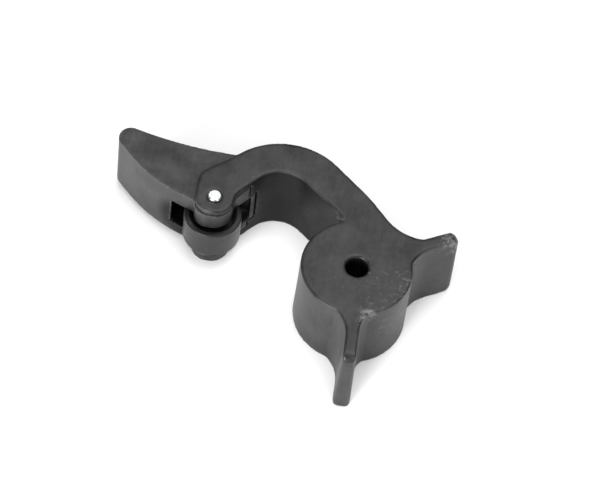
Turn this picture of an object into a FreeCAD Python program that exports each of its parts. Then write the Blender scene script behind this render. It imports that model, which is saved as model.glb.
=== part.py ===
import FreeCAD, Part
import math
import os
import re

import Sketcher

# Latch of a stair gate: a moulded body that swings on a bolt through its hub, with two thumb wings
# and a curved arm.  The arm ends in a fork that carries a beak lever and a roller on one steel pin.
#
# Frame: the origin is on the hub's bore, in the body's bottom face.  +Z is up along the bore,
# +X is right and the beak points to -X.  Lengths are millimetres and angles are degrees.

# Each driving dimension, written once.
SIZES = {
    # hub
    "body_height": 31.0,
    "hub_radius": 20.0,
    "hub_draft": 0.7,
    "bolt_bore_radius": 4.2,
    # thumb wings: each blade points away from the hub at its own angle; the fillet on either
    # side of it starts some degrees round the hub, and its radius is a share of the hub's
    "wing_thickness": 4.8,
    "wing_offset": 1.5,
    "wing_draft": 1.3,
    "wing_tip_share": 0.8,
    "wing_top_end_radius": 4.4,
    "wing_end_room": 3.0,
    "wing_sink": 1.2,
    "side_wing_angle": 28.2,
    "side_wing_reach": 40.4,
    "side_wing_right_start": 29.0,
    "side_wing_right_share": 0.68,
    "side_wing_left_start": 35.0,
    "side_wing_left_share": 0.4,
    "side_wing_bottom_end_radius": 4.5,
    "front_wing_angle": -90.0,
    "front_wing_reach": 39.7,
    "front_wing_right_start": 32.0,
    "front_wing_right_share": 0.68,
    "front_wing_left_start": 30.0,
    "front_wing_left_share": 0.48,
    "front_wing_bottom_end_radius": 1.8,
    # arm: corners of its hooked outline, each rounded by the radius that follows it
    "pin_x": -53.8,
    "pin_y": 20.96,
    "ear_radius": 7.0,
    "nose_share": 0.99,
    "throat_x": -3.44,
    "throat_y": 17.1,
    "throat_radius": 4.7,
    "throat_mouth_angle": 22.3,
    "hook_inside_x": -31.5,
    "hook_inside_y": 41.4,
    "hook_inside_radius": 12.1,
    "hook_outside_x": -29.0,
    "hook_outside_y": 58.4,
    "hook_outside_radius": 25.8,
    "ear_inside_rise": 2.4,
    "ear_outside_rise": 9.9,
    "ear_side_radius": 6.0,
    "shoulder_x": 1.2,
    "shoulder_y": 31.2,
    "shoulder_radius": 40.0,
    "web_x": 16.9,
    "web_y": 13.2,
    "web_radius": 18.0,
    # fork: two ears of unequal thickness and a slot whose middle runs deeper into the arm
    "top_ear": 2.6,
    "bottom_ear": 3.6,
    "slot_before_pin": 14.0,
    "slot_left_of_pin": 21.0,
    "slot_share": 0.337,
    "deep_slot_share": 0.49,
    "side_play": 0.15,
    "stop_gap": 0.1,
    # beak lever, measured from the pin's axis
    "beak_x": -47.5,
    "beak_y": 31.1,
    "beak_radius": 4.5,
    "beak_front_x": -23.3,
    "beak_front_y": 5.0,
    "beak_front_radius": 58.0,
    "beak_back_x": -12.8,
    "beak_back_y": 22.2,
    "beak_back_radius": 130.0,
    "cheek_share": 0.97,
    "cheek_drop": 1.2,
    "cheek_blend": 0.8,
    "cheek_nose_share": 0.74,
    "heel_share": 0.332,
    "heel_x": 6.3,
    "tongue_share": 0.47,
    "tongue_heel_x": 9.1,
    "tongue_heel_y": 21.6,
    "tongue_lip": 1.0,
    "tongue_gap": 0.3,
    # window through the lever's front, where the roller stands
    "window_bottom": 8.6,
    "window_height": 12.5,
    "window_left_gap": 4.9,
    "window_right_gap": 2.1,
    "window_back_gap": 1.7,
    "window_corner_radius": 3.0,
    # roller
    "roller_radius": 10.5,
    "roller_play": 0.25,
    "roller_recess_radius": 7.6,
    "roller_recess_depth": 3.4,
    "roller_boss_radius": 4.4,
    "roller_lip": 1.1,
    "roller_edge": 0.5,
    # pivot pin
    "pin_radius": 2.5,
    "pin_proud": 0.9,
    "pin_chamfer": 0.4,
    "pivot_play": 0.05,
}

doc = FreeCAD.newDocument("StairGateLatch")
sheet = doc.addObject("Spreadsheet::Sheet", "Sizes")
for row, (alias, size) in enumerate(SIZES.items(), start=1):
    sheet.set(f"A{row}", alias)
    sheet.set(f"B{row}", str(size))
    sheet.setAlias(f"B{row}", alias)
doc.recompute()


def sized(text):
    """Point each dimension named in an expression at its cell in the sheet."""
    return re.sub(r"[a-z_]+", lambda word: ("Sizes." if word[0] in SIZES else "") + word[0], text)


def value(text):
    """The present value of an expression of driving dimensions."""
    return float(sheet.evalExpression(sized(text)))


def bind(thing, path, text):
    """Tie one property or constraint of an object to an expression of driving dimensions."""
    thing.setExpression(path, sized(text))


def new_body(name, x="0", y="0"):
    """An empty body that carries the piece's name and stands at (x, y)."""
    body = doc.addObject("PartDesign::Body", name)
    body.Label = name
    bind(body, "Placement.Base.x", x)
    bind(body, "Placement.Base.y", y)
    return body


def new_sketch(body, name, level="0", turn="0", plane="XY_Plane"):
    """A sketch on one of the body's own planes, raised to a level and turned about the body's Z."""
    sketch = body.newObject("Sketcher::SketchObject", name)
    own_plane = [item for item in body.Origin.OriginFeatures if item.Role == plane]
    sketch.AttachmentSupport = (own_plane[0], "")
    sketch.MapMode = "FlatFace"
    sketch.AttachmentOffset.Rotation.Axis = FreeCAD.Vector(
        *((0, 0, 1) if plane == "XY_Plane" else (0, 1, 0)))
    bind(sketch, "AttachmentOffset.Base.z", level)
    bind(sketch, "AttachmentOffset.Rotation.Angle", turn)
    doc.recompute()
    return sketch


def place_point(sketch, geometry, end, x, y):
    """Hold a point of the sketch at (x, y), both expressions."""
    for kind, text in (("DistanceX", x), ("DistanceY", y)):
        number = sketch.addConstraint(
            Sketcher.Constraint(kind, -1, 1, geometry, end, value(text)))
        bind(sketch, f"Constraints[{number}]", text)


def draw_circle(sketch, x, y, radius):
    """A circle with its centre and radius held by expressions."""
    centre = FreeCAD.Vector(value(x), value(y), 0)
    circle = sketch.addGeometry(Part.Circle(centre, FreeCAD.Vector(0, 0, 1), value(radius)))
    place_point(sketch, circle, 3, x, y)
    number = sketch.addConstraint(Sketcher.Constraint("Radius", circle, value(radius)))
    bind(sketch, f"Constraints[{number}]", radius)


def round_corner(before, corner, after, radius):
    """Where an arc of this radius leaves the two sides of a corner, its centre and its hand."""
    arriving = (corner - before).normalize()
    leaving = (after - corner).normalize()
    hand = 1 if arriving.cross(leaving).z > 0 else -1
    reach = radius * math.tan(arriving.getAngle(leaving) / 2)
    start = corner - arriving * reach
    end = corner + leaving * reach
    centre = start + FreeCAD.Vector(-arriving.y, arriving.x, 0) * (hand * radius)
    return start, end, centre, hand


def draw_outline(sketch, corners):
    """A closed outline through corners (x, y, radius); a corner without a radius is sharp."""
    points = [FreeCAD.Vector(value(x), value(y), 0) for x, y, _ in corners]
    count = len(corners)
    starts, ends, arcs = list(points), list(points), {}
    for i, (_, _, radius) in enumerate(corners):
        if radius:
            start, end, centre, hand = round_corner(
                points[i - 1], points[i], points[(i + 1) % count], value(radius))
            starts[i], ends[i] = start, end
            arcs[i] = (centre, hand, value(radius))
    for i in range(count):
        side = points[(i + 1) % count] - points[i]
        if (starts[(i + 1) % count] - ends[i]).dot(side) < 0:
            raise RuntimeError(f"{sketch.Name}: the arcs on side {i} overlap")
    lines = [sketch.addGeometry(Part.LineSegment(ends[i], starts[(i + 1) % count]))
             for i in range(count)]
    for i, (x, y, radius) in enumerate(corners):
        if not radius:
            sketch.addConstraint(Sketcher.Constraint("Coincident", lines[i - 1], 2, lines[i], 1))
            place_point(sketch, lines[i], 1, x, y)
            continue
        centre, hand, size = arcs[i]
        first, last = (starts[i], ends[i]) if hand > 0 else (ends[i], starts[i])
        angles = [math.atan2(p.y - centre.y, p.x - centre.x) for p in (first, last)]
        ring = Part.Circle(centre, FreeCAD.Vector(0, 0, 1), size)
        arc = sketch.addGeometry(Part.ArcOfCircle(ring, *angles))
        entry, leave = (1, 2) if hand > 0 else (2, 1)
        sketch.addConstraint(Sketcher.Constraint("Tangent", lines[i - 1], 2, arc, entry))
        sketch.addConstraint(Sketcher.Constraint("Tangent", arc, leave, lines[i], 1))
        number = sketch.addConstraint(Sketcher.Constraint("Radius", arc, size))
        bind(sketch, f"Constraints[{number}]", radius)
        mark = sketch.addGeometry(Part.Point(points[i]), True)
        sketch.addConstraint(Sketcher.Constraint("PointOnObject", mark, 1, lines[i - 1]))
        sketch.addConstraint(Sketcher.Constraint("PointOnObject", mark, 1, lines[i]))
        place_point(sketch, mark, 1, x, y)


def pad(body, sketch, height, draft=None):
    """Grow a sketch upwards; a draft narrows it on the way up."""
    feature = body.newObject("PartDesign::Pad", sketch.Name + "Pad")
    feature.Profile = sketch
    bind(feature, "Length", height)
    if draft:
        bind(feature, "TaperAngle", "-1 * " + draft)
    doc.recompute()
    return feature


def cut(body, sketch, height, both_ways=False):
    """Cut a sketch upwards through the body, and make sure that it took material away."""
    before = body.Shape.Volume
    feature = body.newObject("PartDesign::Pocket", sketch.Name + "Pocket")
    feature.Profile = sketch
    feature.Reversed = True
    feature.Midplane = both_ways
    bind(feature, "Length", height)
    doc.recompute()
    if body.Shape.Volume >= before:
        raise RuntimeError(sketch.Name + " cuts nothing")
    return feature


def chamfer_rims(body, size):
    """Break every round rim of the body."""
    base = body.Tip
    rims = [f"Edge{i}" for i, edge in enumerate(base.Shape.Edges, start=1)
            if isinstance(edge.Curve, Part.Circle)]
    feature = body.newObject("PartDesign::Chamfer", body.Name + "Rims")
    feature.Base = (base, rims)
    bind(feature, "Size", size)
    doc.recompute()


def beside_pin(share):
    """How far from the pin, in X and Y, a point on the arm's inner side lies: it is a share
    of the way from the ear's corner to the corner that the hook is rounded from."""
    x = f"ear_radius + {share} * ( hook_inside_x - pin_x - ear_radius )"
    y = f"ear_inside_rise + {share} * ( hook_inside_y - pin_y - ear_inside_rise )"
    return x, y


def blade_corners(wing):
    """One wing's foot along its own +X; fillets carry both of its sides into the hub."""
    half_foot = "( wing_thickness / 2 + body_height * tan( wing_draft ) )"
    low = f"( wing_offset - {half_foot} )"
    high = f"( wing_offset + {half_foot} )"
    rim = "( hub_radius + body_height * tan( hub_draft ) )"
    root = f"( {rim} - wing_sink )"
    tip_radius = f"wing_tip_share * {half_foot}"
    right, left = f"{wing}_right_start", f"{wing}_left_start"
    right_radius, left_radius = f"{wing}_right_share * hub_radius", f"{wing}_left_share * hub_radius"
    return [
        ("hub_radius / 2", low, None),
        (f"{root} * cos( {right} )", f"-1 * {root} * sin( {right} )", None),
        (f"( {rim} + {low} * sin( {right} ) ) / cos( {right} )", low, right_radius),
        (f"{wing}_reach", low, tip_radius),
        (f"{wing}_reach", high, tip_radius),
        (f"( {rim} - {high} * sin( {left} ) ) / cos( {left} )", high, left_radius),
        (f"{root} * cos( {left} )", f"{root} * sin( {left} )", None),
        ("hub_radius / 2", high, None),
    ]


def blade_end_corners(wing):
    """Seen from the side, what rounding a wing's end takes away from its top and bottom corners."""
    past = f"{wing}_reach + wing_end_room"
    inside = f"{wing}_reach - wing_top_end_radius - {wing}_bottom_end_radius"
    return [
        (past, "-1 * wing_end_room", None),
        (past, "body_height + wing_end_room", None),
        (inside, "body_height + wing_end_room", None),
        (inside, "body_height", None),
        (f"{wing}_reach", "body_height", "wing_top_end_radius"),
        (f"{wing}_reach", "0", f"{wing}_bottom_end_radius"),
        (inside, "0", None),
        (inside, "-1 * wing_end_room", None),
    ]


def arm_corners():
    """The arm with its hook, from the throat beside the hub to the ears and back over the top.
    Its first and last points only have to lie inside the hub."""
    right = "pin_x + ear_radius"
    left = "pin_x - ear_radius"
    web_end = "( side_wing_reach - wing_thickness )"
    mouth_x = "( hub_radius * 0.8 )"
    return [
        (f"-1 * {mouth_x}", f"throat_y - ( {mouth_x} + throat_x ) * tan( throat_mouth_angle )", None),
        ("throat_x", "throat_y", "throat_radius"),
        ("hook_inside_x", "hook_inside_y", "hook_inside_radius"),
        (right, "pin_y + ear_inside_rise", "ear_side_radius"),
        (right, "pin_y - ear_radius", "nose_share * ear_radius"),
        (left, "pin_y - ear_radius", "nose_share * ear_radius"),
        (left, "pin_y + ear_outside_rise", "ear_side_radius"),
        ("hook_outside_x", "hook_outside_y", "hook_outside_radius"),
        ("shoulder_x", "shoulder_y", "shoulder_radius"),
        ("web_x", "web_y", "web_radius"),
        (f"{web_end} * cos( side_wing_angle ) - wing_offset * sin( side_wing_angle )",
         f"{web_end} * sin( side_wing_angle ) + wing_offset * cos( side_wing_angle )", None),
        ("hub_radius * 0.3", "hub_radius * 0.1", None),
    ]


def fork_corners(share, heel_x, heel_y):
    """The part of the arm's plan that one level of the fork's slot takes away."""
    near_x, near_y = beside_pin(share)
    before = "pin_y - slot_before_pin"
    behind = "hook_outside_y"
    return [
        ("pin_x - slot_left_of_pin", before, None),
        ("pin_x + slot_before_pin", before, None),
        (f"pin_x + {near_x}", f"pin_y + {near_y}", None),
        (f"pin_x + {heel_x}", f"pin_y + {heel_y}", None),
        (f"pin_x + {heel_x}", behind, None),
        ("pin_x - slot_left_of_pin", behind, None),
    ]


# Latch body: hub, two wings, arm and fork, moulded in one piece.
latch = new_body("latch_body")

hub = new_sketch(latch, "Hub")
draw_circle(hub, "0", "0", "hub_radius + body_height * tan( hub_draft )")
pad(latch, hub, "body_height", "hub_draft")

arm = new_sketch(latch, "Arm")
draw_outline(arm, arm_corners())
pad(latch, arm, "body_height")

for name, wing in (("SideWing", "side_wing"), ("FrontWing", "front_wing")):
    blade = new_sketch(latch, name, turn=f"{wing}_angle")
    draw_outline(blade, blade_corners(wing))
    pad(latch, blade, "body_height", "wing_draft")
    blade_end = new_sketch(latch, name + "End", turn=f"{wing}_angle", plane="XZ_Plane")
    draw_outline(blade_end, blade_end_corners(wing))
    cut(latch, blade_end, "hub_radius", both_ways=True)

slot = new_sketch(latch, "Slot", level="bottom_ear")
draw_outline(slot, fork_corners("slot_share", "heel_x + stop_gap", "beak_back_y"))
cut(latch, slot, "body_height - top_ear - bottom_ear")

deep_slot = new_sketch(latch, "DeepSlot", level="window_bottom - tongue_lip - tongue_gap")
draw_outline(deep_slot, fork_corners("deep_slot_share", "tongue_heel_x + tongue_gap",
                                     "tongue_heel_y"))
cut(latch, deep_slot, "window_height + 2 * ( tongue_lip + tongue_gap )")

bore = new_sketch(latch, "BoltBore")
draw_circle(bore, "0", "0", "bolt_bore_radius")
cut(latch, bore, "body_height")

pin_hole = new_sketch(latch, "PinHole")
draw_circle(pin_hole, "pin_x", "pin_y", "pin_radius")
cut(latch, pin_hole, "body_height")

# Beak lever: one moulding, from the rounded beak to the heel that rests on the arm.
lever = new_body("beak_lever", "pin_x", "pin_y")
LEVER_BOTTOM = "( bottom_ear + side_play )"
LEVER_HEIGHT = "( body_height - top_ear - bottom_ear - 2 * side_play )"

beak = new_sketch(lever, "Beak", level=LEVER_BOTTOM)
draw_outline(beak, [
    ("beak_x", "beak_y", "beak_radius"),
    ("beak_front_x", "beak_front_y", "beak_front_radius"),
    ("-1 * cheek_share * ear_radius", "-1 * cheek_drop", "cheek_blend"),
    ("-1 * cheek_share * ear_radius", "-1 * ear_radius", "cheek_nose_share * ear_radius"),
    ("ear_radius", "-1 * ear_radius", "nose_share * ear_radius"),
    ("ear_radius", "ear_inside_rise", "ear_side_radius"),
    (*beside_pin("heel_share"), None),
    ("heel_x", "beak_back_y", None),
    ("beak_back_x", "beak_back_y", "beak_back_radius"),
])
pad(lever, beak, LEVER_HEIGHT)

tongue = new_sketch(lever, "Tongue", level="window_bottom - tongue_lip")
draw_outline(tongue, [
    (*beside_pin("heel_share"), None),
    (*beside_pin("tongue_share"), None),
    ("tongue_heel_x", "tongue_heel_y", None),
    ("heel_x", "beak_back_y", None),
])
pad(lever, tongue, "window_height + 2 * tongue_lip")

window = new_sketch(lever, "Window", level="window_bottom")
window_left = "-1 * ( roller_radius + window_left_gap )"
window_right = "roller_radius + window_right_gap"
window_back = "( roller_radius + window_back_gap )"
draw_outline(window, [
    (window_left, "-1 * " + window_back, None),
    (window_right, "-1 * " + window_back, None),
    (window_right, window_back, None),
    (window_left, window_back, "window_corner_radius"),
])
cut(lever, window, "window_height")

pivot_hole = new_sketch(lever, "PivotHole")
draw_circle(pivot_hole, "0", "0", "pin_radius + pivot_play")
cut(lever, pivot_hole, "body_height")

# Roller: a moulded wheel with a recess in each face round its boss, turned about the pin.
roller = new_body("roller", "pin_x", "pin_y")
half = "( window_height / 2 - roller_play )"
middle = "( window_bottom + window_height / 2 )"
floor = "( window_height / 2 - roller_play - roller_recess_depth )"
section = new_sketch(roller, "RollerSection", plane="XZ_Plane")
draw_outline(section, [
    ("pin_radius + pivot_play", f"{middle} - {half}", None),
    ("roller_boss_radius", f"{middle} - {half}", None),
    ("roller_boss_radius", f"{middle} - {floor}", None),
    ("roller_recess_radius", f"{middle} - {floor}", None),
    ("roller_recess_radius", f"{middle} - {half} + roller_lip", None),
    ("roller_recess_radius + roller_lip", f"{middle} - {half}", None),
    ("roller_radius", f"{middle} - {half}", "roller_edge"),
    ("roller_radius", f"{middle} + {half}", "roller_edge"),
    ("roller_recess_radius + roller_lip", f"{middle} + {half}", None),
    ("roller_recess_radius", f"{middle} + {half} - roller_lip", None),
    ("roller_recess_radius", f"{middle} + {floor}", None),
    ("roller_boss_radius", f"{middle} + {floor}", None),
    ("roller_boss_radius", f"{middle} + {half}", None),
    ("pin_radius + pivot_play", f"{middle} + {half}", None),
])
turning = roller.newObject("PartDesign::Revolution", "RollerTurned")
turning.Profile = section
turning.ReferenceAxis = (section, ["V_Axis"])
turning.Angle = 360
doc.recompute()

# Pivot pin: plain steel dowel, pressed through both ears and left a little proud on top.
pin = new_body("pivot_pin", "pin_x", "pin_y")
dowel = new_sketch(pin, "Dowel")
draw_circle(dowel, "0", "0", "pin_radius")
pad(pin, dowel, "body_height + pin_proud")
chamfer_rims(pin, "pin_chamfer")

# Every feature has to be sound before anything is written.
doc.recompute()
for thing in doc.Objects:
    if "Invalid" in thing.State or "Error" in thing.State:
        raise RuntimeError(thing.Name + " failed: " + ", ".join(thing.State))

os.makedirs("parts", exist_ok=True)
for piece in (latch, lever, roller, pin):
    shape = piece.Shape
    if shape.isNull() or not shape.isValid() or len(shape.Solids) != 1:
        raise RuntimeError(piece.Label + " is not one sound solid")
    shape.exportStep(f"parts/{piece.Label}.step")
    print(piece.Label, round(shape.Volume), shape.BoundBox)
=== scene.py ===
import math

import bpy
from mathutils import Matrix, Vector


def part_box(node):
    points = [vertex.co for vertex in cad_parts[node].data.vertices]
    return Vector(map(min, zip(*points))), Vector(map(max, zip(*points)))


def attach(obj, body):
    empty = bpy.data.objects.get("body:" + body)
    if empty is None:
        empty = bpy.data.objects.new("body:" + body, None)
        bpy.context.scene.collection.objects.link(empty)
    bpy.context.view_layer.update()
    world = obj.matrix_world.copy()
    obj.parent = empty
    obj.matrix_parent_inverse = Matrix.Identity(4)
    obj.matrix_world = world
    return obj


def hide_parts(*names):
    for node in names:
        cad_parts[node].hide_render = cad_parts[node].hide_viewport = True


# A stair gate latch as it lies on a table: a black moulded body with a hub, two thumb wings and a
# hooked arm, and in the arm's fork a beak lever and a roller that share one steel pin.
# Metres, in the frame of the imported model: the bolt bore stands on the origin and +Z is up.
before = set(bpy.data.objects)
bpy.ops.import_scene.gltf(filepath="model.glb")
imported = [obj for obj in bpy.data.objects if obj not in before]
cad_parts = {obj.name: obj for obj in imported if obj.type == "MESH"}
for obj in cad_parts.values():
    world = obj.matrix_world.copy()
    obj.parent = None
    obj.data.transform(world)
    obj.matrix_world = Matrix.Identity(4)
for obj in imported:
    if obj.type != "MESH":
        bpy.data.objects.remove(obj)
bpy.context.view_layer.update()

# ---------------------------------------------------------------------------------- latch body
# Hub, wings, arm and fork are one injection moulding in glass-filled nylon. The mould leaves a
# small radius along every edge, and use has scuffed the wings and the rim of the hub pale.
MM = 0.001
MERGE_DISTANCE = 0.002 * MM
SMOOTHING_SHARE = 0.5
BODY_GRID = 0.45 * MM
BODY_PASSES = 10


def soften_edges(node, name, grid, passes, body):
    """A copy of a moulding on a fine even grid, smoothed until its edges have a small radius."""
    bpy.ops.object.select_all(action="DESELECT")
    moulding = bpy.data.objects.new(name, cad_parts[node].data.copy())
    bpy.context.scene.collection.objects.link(moulding)
    bpy.context.view_layer.objects.active = moulding
    moulding.select_set(True)
    moulding.data.materials.clear()
    if moulding.data.has_custom_normals:
        bpy.ops.mesh.customdata_custom_splitnormals_clear()
    bpy.ops.object.mode_set(mode="EDIT")
    bpy.ops.mesh.select_all(action="SELECT")
    bpy.ops.mesh.remove_doubles(threshold=MERGE_DISTANCE)
    bpy.ops.object.mode_set(mode="OBJECT")
    even_grid = moulding.modifiers.new("even_grid", "REMESH")
    even_grid.mode = "VOXEL"
    even_grid.voxel_size = grid
    mould_radius = moulding.modifiers.new("mould_radius", "SMOOTH")
    mould_radius.factor = SMOOTHING_SHARE
    mould_radius.iterations = passes
    for modifier in ("even_grid", "mould_radius"):
        bpy.ops.object.modifier_apply(modifier=modifier)
    bpy.ops.object.shade_smooth()
    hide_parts(node)
    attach(moulding, body)
    return moulding


def linear(hex_colour):
    """An sRGB hex colour as linear red, green, blue and alpha."""
    channels = [int(hex_colour[i:i + 2], 16) / 255 for i in (1, 3, 5)]
    return [c / 12.92 if c <= 0.04045 else ((c + 0.055) / 1.055) ** 2.4 for c in channels] + [1]


def add_node(material, kind, sockets=None, **settings):
    """Add one node; each socket is given a value, or the output that it is linked from."""
    tree = material.node_tree
    node = tree.nodes.new("ShaderNode" + kind)
    for name, setting in settings.items():
        setattr(node, name, setting)
    for key, given in (sockets or {}).items():
        if isinstance(given, bpy.types.NodeSocket):
            tree.links.new(given, node.inputs[key])
        else:
            node.inputs[key].default_value = given
    return node


def new_material(name):
    """An empty node material and its output node."""
    material = bpy.data.materials.new(name)
    material.use_nodes = True
    material.node_tree.nodes.clear()
    return material, add_node(material, "OutputMaterial")


# Sizes in the nylon's skin. Real orange peel, flow streaks and scratches are finer than these,
# which are as coarse as they need to be to show.
CLOUD_SIZE = 14 * MM
ORANGE_PEEL_SIZE = 0.9 * MM
ORANGE_PEEL_DEPTH = 0.12 * MM
STREAK_WIDTH = 1.3 * MM
STREAK_ANGLE = math.radians(-40)
STREAK_STRETCH = (1.0, 0.22, 0.4)
STREAK_STRENGTH = 0.8
SCRATCH_SIZE = 1.7 * MM
SCUFF_BEGINS, SCUFF_FULL, SCUFF_COVER = 0.68, 0.98, 0.75
EDGE_REACH = 2.2 * MM
EDGE_WEAR = 0.24
# Painted shade: the near black that recesses are painted, where shade falls.
PAINTED_SHADE_BLACK = "#060606"
SCUFF_GREY = "#8d8f91"
SMOOTHEST_SKIN, ROUGHEST_SKIN, SCUFF_ROUGHNESS = 0.34, 0.56, 0.25
# Painted shade also lowers the sheen in recesses, from the full sheen down to the second value.
FULL_SHEEN, PAINTED_SHADE_SHEEN = 0.5, 0.22
NYLON_IOR = 1.45  # nylon's own is about 1.53; lowered to match this latch's quieter gloss


def black_nylon(name, hex_dark, hex_light, scuffed_places, painted_shade_places):
    """Glass-filled nylon 6, injection moulded in black: a satin skin with faint clouding and flow
    streaks where the glass lies differently, a fine orange peel, and pale matt scuffs on edges and
    handled places. Shade is painted into recesses: where shade falls the colour is painted a
    deeper black and the sheen is lowered. Each place is a centre, a reach, and how much it is
    scuffed or whether the painted shade goes only on its upright walls."""
    material, output = new_material(name)
    place = add_node(material, "TexCoord").outputs["Object"]
    clouds = add_node(material, "TexNoise", {
        "Vector": place, "Scale": 1 / CLOUD_SIZE, "Detail": 5.0, "Roughness": 0.62})
    grain = add_node(material, "TexNoise", {
        "Vector": place, "Scale": 1 / ORANGE_PEEL_SIZE, "Detail": 3.0, "Roughness": 0.6})
    cloud_share = add_node(material, "MapRange", {
        "Value": clouds.outputs["Fac"], "From Min": 0.33, "From Max": 0.67})
    along_flow = add_node(material, "Mapping", {
        "Vector": place, "Rotation": (0, 0, STREAK_ANGLE), "Scale": STREAK_STRETCH})
    streaks = add_node(material, "TexNoise", {
        "Vector": along_flow.outputs[0], "Scale": 1 / STREAK_WIDTH, "Detail": 6.0,
        "Roughness": 0.7, "Distortion": 0.3})
    streaked = add_node(material, "Math", {
        0: streaks.outputs["Fac"], 1: STREAK_STRENGTH, 2: cloud_share.outputs[0]},
        operation="MULTIPLY_ADD")
    skin_share = add_node(material, "MapRange", {
        "Value": streaked.outputs[0], "From Min": 0.45, "From Max": 1.35})
    worn_skin = add_node(material, "Mix", {
        0: skin_share.outputs[0], 6: linear(hex_dark), 7: linear(hex_light)},
        data_type="RGBA", clamp_factor=True)

    # How deep in a recess a place is, where shade is painted; the flat faces above and below a
    # shaded wall may be left out.
    facing = add_node(material, "NewGeometry").outputs["Normal"]
    facing_parts = add_node(material, "SeparateXYZ", {0: facing})
    level = add_node(material, "Math", {0: facing_parts.outputs["Z"]}, operation="ABSOLUTE")
    upright = add_node(material, "Math", {0: 1.0, 1: level.outputs[0]}, operation="SUBTRACT")
    painted_shade = None
    for centre, reach, walls_only in painted_shade_places:
        away = add_node(material, "VectorMath", {0: place, 1: centre}, operation="DISTANCE")
        here = add_node(material, "MapRange", {
            "Value": away.outputs["Value"], "From Min": reach, "From Max": reach * 0.6},
            interpolation_type="SMOOTHSTEP").outputs[0]
        if walls_only:
            here = add_node(material, "Math", {
                0: here, 1: upright.outputs[0]}, operation="MULTIPLY").outputs[0]
        painted_shade = here if painted_shade is None else add_node(material, "Math", {
            0: painted_shade, 1: here}, operation="MAXIMUM").outputs[0]
    # Painted shade: recesses are painted towards near black.
    skin = add_node(material, "Mix", {
        0: painted_shade, 6: worn_skin.outputs[2], 7: linear(PAINTED_SHADE_BLACK)},
        data_type="RGBA", clamp_factor=True)

    # How near an edge is, from how far the normal turns within the edge's reach.
    rounded = add_node(material, "Bevel", {"Radius": EDGE_REACH}, samples=8)
    turned = add_node(material, "VectorMath", {0: facing, 1: rounded.outputs[0]},
                      operation="DOT_PRODUCT")
    near_edge = add_node(material, "MapRange", {
        "Value": turned.outputs["Value"], "From Min": 0.995, "From Max": 0.86})

    # Scuffs gather on the edges and in the places that are handled most.
    handled = None
    for centre, reach, amount in scuffed_places:
        away = add_node(material, "VectorMath", {0: place, 1: centre}, operation="DISTANCE")
        here = add_node(material, "MapRange", {
            "Value": away.outputs["Value"], "From Min": reach, "From Max": reach * 0.2,
            "To Max": amount}, interpolation_type="SMOOTHSTEP")
        handled = here.outputs[0] if handled is None else add_node(material, "Math", {
            0: handled, 1: here.outputs[0]}, operation="MAXIMUM").outputs[0]
    edge_wear = add_node(material, "Math", {
        0: near_edge.outputs[0], 1: EDGE_WEAR, 2: handled}, operation="MULTIPLY_ADD")
    scratches = add_node(material, "TexNoise", {
        "Vector": place, "Scale": 1 / SCRATCH_SIZE, "Detail": 6.0, "Roughness": 0.72,
        "Distortion": 0.6})
    breaking = add_node(material, "Math", {
        0: scratches.outputs["Fac"], 1: edge_wear.outputs[0]}, operation="ADD")
    scuff = add_node(material, "MapRange", {
        "Value": breaking.outputs[0], "From Min": SCUFF_BEGINS, "From Max": SCUFF_FULL,
        "To Max": SCUFF_COVER})
    colour = add_node(material, "Mix", {
        0: scuff.outputs[0], 6: skin.outputs[2], 7: linear(SCUFF_GREY)},
        data_type="RGBA", clamp_factor=True)

    roughness = add_node(material, "MapRange", {
        "Value": clouds.outputs["Fac"], "From Min": 0.3, "From Max": 0.7,
        "To Min": SMOOTHEST_SKIN, "To Max": ROUGHEST_SKIN})
    worn_roughness = add_node(material, "Math", {
        0: scuff.outputs[0], 1: SCUFF_ROUGHNESS, 2: roughness.outputs[0]},
        operation="MULTIPLY_ADD")
    # Painted shade: the sheen is lowered in recesses.
    sheen = add_node(material, "MapRange", {
        "Value": painted_shade, "To Min": FULL_SHEEN, "To Max": PAINTED_SHADE_SHEEN})
    relief = add_node(material, "Bump", {
        "Height": grain.outputs["Fac"], "Strength": 0.55, "Distance": ORANGE_PEEL_DEPTH})
    shader = add_node(material, "BsdfPrincipled", {
        "Base Color": colour.outputs[2], "Roughness": worn_roughness.outputs[0],
        "IOR": NYLON_IOR, "Specular IOR Level": sheen.outputs[0], "Normal": relief.outputs[0]})
    material.node_tree.links.new(shader.outputs[0], output.inputs["Surface"])
    return material


latch_body = soften_edges(
    "latch_body", "moulded_body", BODY_GRID, BODY_PASSES, "latch_body")
side_wing_tip = (34.0 * MM, 19.5 * MM, 30.0 * MM)
front_wing_tip = (1.5 * MM, -38.0 * MM, 29.0 * MM)
front_wing_root = (6.0 * MM, -20.0 * MM, 30.5 * MM)
hub_right_rim = (19.0 * MM, -6.0 * MM, 30.0 * MM)
hub_face = (6.0 * MM, -9.0 * MM, 31.0 * MM)
hub_right_wall = (17.0 * MM, -14.0 * MM, 19.0 * MM)
side_wing_flank = (25.0 * MM, 8.0 * MM, 18.0 * MM)
throat_rim = (-9.0 * MM, 20.0 * MM, 31.0 * MM)
throat_wall = (-26.0 * MM, 34.0 * MM, 15.0 * MM)
bore_wall = (0.0, 0.0, 24.0 * MM)
fork_wall = (-43.0 * MM, 26.0 * MM, 14.0 * MM)
# Shade is painted on the walls of the throat and the bolt bore and in the fork, where shade falls.
latch_body.data.materials.append(black_nylon(
    "black glass-filled nylon, moulded and scuffed", "#09090a", "#333334",
    [(side_wing_tip, 12 * MM, 0.26), (front_wing_tip, 6 * MM, 0.12),
     (front_wing_root, 8 * MM, 0.24), (hub_right_rim, 13 * MM, 0.19),
     (hub_face, 24 * MM, 0.1), (hub_right_wall, 15 * MM, 0.15),
     (side_wing_flank, 10 * MM, 0.12), (throat_rim, 6 * MM, 0.14)],
    [(throat_wall, 34 * MM, True), (bore_wall, 9 * MM, True), (fork_wall, 10 * MM, False)]))

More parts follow.
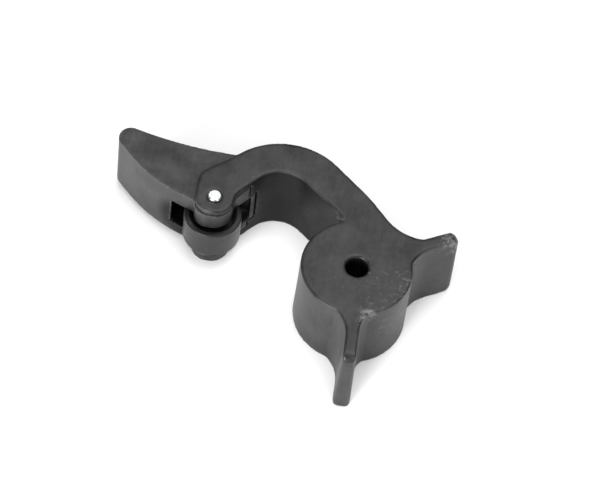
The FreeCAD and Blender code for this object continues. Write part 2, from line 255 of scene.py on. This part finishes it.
# ---------------------------------------------------------------------------------- beak lever
# A second nylon moulding between the ears of the fork. Its beak is cleaner and a shade lighter than
# the body, because a hand never rests on it. It turns on the pin.
LEVER_GRID = 0.3 * MM
LEVER_PASSES = 9
beak_lever = soften_edges(
    "beak_lever", "moulded_lever", LEVER_GRID, LEVER_PASSES, "beak_lever")
beak_tip = (-88.0 * MM, 45.0 * MM, 27.0 * MM)
window_left = (-63.0 * MM, 26.0 * MM, 13.0 * MM)
window_right = (-45.0 * MM, 25.0 * MM, 14.0 * MM)
# Shade is painted in the windows either side of the roller.
beak_lever.data.materials.append(black_nylon(
    "black glass-filled nylon, moulded and clean", "#161617", "#3b3b3c",
    [(beak_tip, 9 * MM, 0.08)],
    [(window_left, 13.5 * MM, False), (window_right, 11 * MM, False)]))

# -------------------------------------------------------------------------------------- roller
# A turned acetal wheel with a recess in each face. It runs against the gate's post, which polishes
# its rim in rings and nicks it.
TURNING_MARK_PITCH = 0.7 * MM
TURNING_MARK_DEPTH = 0.06 * MM
NICK_SIZE = 1.6 * MM
ACETAL_IOR = 1.44  # acetal's own is about 1.48; lowered to match like the nylon's
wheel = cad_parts["roller"]
# Black acetal, turned from bar: a smoother, slightly glossier black than the nylon, with small
# greyer nicks and with rings round the rim, which are drawn coarser than real so that they show.
acetal, acetal_output = new_material("black acetal, turned and run in")
pin_low, pin_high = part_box("pivot_pin")
pin_axis = Vector(((pin_low.x + pin_high.x) / 2, (pin_low.y + pin_high.y) / 2, 0))
from_pin = add_node(acetal, "Mapping", {
    "Vector": add_node(acetal, "TexCoord").outputs["Object"], "Location": -pin_axis})
round_rim = add_node(acetal, "Mapping", {
    "Vector": from_pin.outputs[0], "Scale": (0.05, 0.05, 1.0)})
turning_marks = add_node(acetal, "TexNoise", {
    "Vector": round_rim.outputs[0], "Scale": 1 / TURNING_MARK_PITCH, "Detail": 4.0,
    "Roughness": 0.65})
nicks = add_node(acetal, "TexNoise", {
    "Vector": from_pin.outputs[0], "Scale": 1 / NICK_SIZE, "Detail": 4.0, "Roughness": 0.7})
nicked = add_node(acetal, "MapRange", {
    "Value": nicks.outputs["Fac"], "From Min": 0.62, "From Max": 0.74})
rim_colour = add_node(acetal, "Mix", {
    0: nicked.outputs[0], 6: linear("#111112"), 7: linear("#3c3c3d")}, data_type="RGBA")
rim_roughness = add_node(acetal, "MapRange", {
    "Value": turning_marks.outputs["Fac"], "From Min": 0.3, "From Max": 0.7,
    "To Min": 0.28, "To Max": 0.46})
rim_relief = add_node(acetal, "Bump", {
    "Height": turning_marks.outputs["Fac"], "Strength": 0.25, "Distance": TURNING_MARK_DEPTH})
acetal_shader = add_node(acetal, "BsdfPrincipled", {
    "Base Color": rim_colour.outputs[2], "Roughness": rim_roughness.outputs[0],
    "IOR": ACETAL_IOR, "Normal": rim_relief.outputs[0]})
acetal.node_tree.links.new(acetal_shader.outputs[0], acetal_output.inputs["Surface"])
wheel.data.materials.clear()
wheel.data.materials.append(acetal)

# ----------------------------------------------------------------------------------- pivot pin
# A plain steel dowel, pressed through both ears. The lever and the roller turn on it. Only its
# faced upper end shows, a little proud of the ear.
FACING_MARK_SIZE = 0.5 * MM
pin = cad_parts["pivot_pin"]
# Zinc-plated steel: a bright, slightly cool grey, broken up a little by the marks of facing, which
# are drawn coarser than real.
zinc, zinc_output = new_material("zinc-plated steel, faced")
facing_marks = add_node(zinc, "TexNoise", {
    "Vector": add_node(zinc, "TexCoord").outputs["Object"],
    "Scale": 1 / FACING_MARK_SIZE, "Detail": 3.0, "Roughness": 0.6})
pin_roughness = add_node(zinc, "MapRange", {
    "Value": facing_marks.outputs["Fac"], "From Min": 0.3, "From Max": 0.7,
    "To Min": 0.22, "To Max": 0.4})
zinc_shader = add_node(zinc, "BsdfPrincipled", {
    "Base Color": linear("#cfd0d1"), "Metallic": 1.0, "Roughness": pin_roughness.outputs[0]})
zinc.node_tree.links.new(zinc_shader.outputs[0], zinc_output.inputs["Surface"])
pin.data.materials.clear()
pin.data.materials.append(zinc)

# ------------------------------------------------------------------------- table, light, camera
# A plain white table under the latch. A soft light stands low in front on the left, a weak one on
# the right and one above and behind. A fourth, above in front, mostly brightens the table: it is
# kept out of reflections, so that the rims keep a thin dark line.
TABLE_SIZE = 6.0
bpy.ops.object.select_all(action="DESELECT")
bpy.ops.mesh.primitive_plane_add(size=TABLE_SIZE, location=(0, 0, 0))
table = bpy.context.object
table.name = "table"
# White laminate with a matt finish: an even, almost pure white with no visible gloss.
white_laminate, table_output = new_material("white laminate, matt")
table_shader = add_node(white_laminate, "BsdfPrincipled", {
    "Base Color": linear("#f4f4f4"), "Roughness": 0.7})
white_laminate.node_tree.links.new(table_shader.outputs[0], table_output.inputs["Surface"])
table.data.materials.append(white_laminate)


def soft_light(name, place, size, watts):
    """A large square soft light that faces the origin."""
    lamp = bpy.data.lights.new(name, "AREA")
    lamp.size = size
    lamp.energy = watts
    light = bpy.data.objects.new(name, lamp)
    light.location = place
    light.rotation_euler = (-Vector(place)).to_track_quat("-Z", "Y").to_euler()
    bpy.context.scene.collection.objects.link(light)
    return light


soft_light("front_softbox", (-0.6, -1.0, 0.4), size=0.6, watts=21.0)
soft_light("right_softbox", (0.85, -0.7, 0.6), size=0.6, watts=3.0)
table_light = soft_light("front_top_softbox", (0.0, -0.5, 1.3), size=1.0, watts=10.0)
table_light.visible_glossy = False
soft_light("top_softbox", (0.1, 0.3, 1.2), size=0.8, watts=9.0)

# An even pale room fills in the shadows.
world = bpy.data.worlds.new("pale room")
bpy.context.scene.world = world
world.use_nodes = True
room = world.node_tree.nodes["Background"]
room.inputs["Color"].default_value = linear("#e8e8e8")
room.inputs["Strength"].default_value = 0.24

# The camera looks down at the latch from the front, and is rolled a little. Angles in radians.
CAMERA_PLACE = Vector((-0.02133, -0.51620, 0.76671))
CAMERA_ELEVATION = 0.952
CAMERA_ROLL = 0.150
lens = bpy.data.cameras.new("camera")
lens.lens = 152.9
lens.sensor_width = 36.0
lens.clip_start = 0.05
lens.clip_end = 20.0
camera = bpy.data.objects.new("camera", lens)
back = Vector((0, -math.cos(CAMERA_ELEVATION), math.sin(CAMERA_ELEVATION)))
level_up = Vector((0, math.sin(CAMERA_ELEVATION), math.cos(CAMERA_ELEVATION)))
level_right = Vector((1, 0, 0))
right = math.cos(CAMERA_ROLL) * level_right + math.sin(CAMERA_ROLL) * level_up
up = math.cos(CAMERA_ROLL) * level_up - math.sin(CAMERA_ROLL) * level_right
camera.matrix_world = Matrix.LocRotScale(
    CAMERA_PLACE, Matrix((right, up, back)).transposed(), None)
bpy.context.scene.collection.objects.link(camera)
bpy.context.scene.camera = camera
bpy.context.scene.view_settings.view_transform = "Standard"
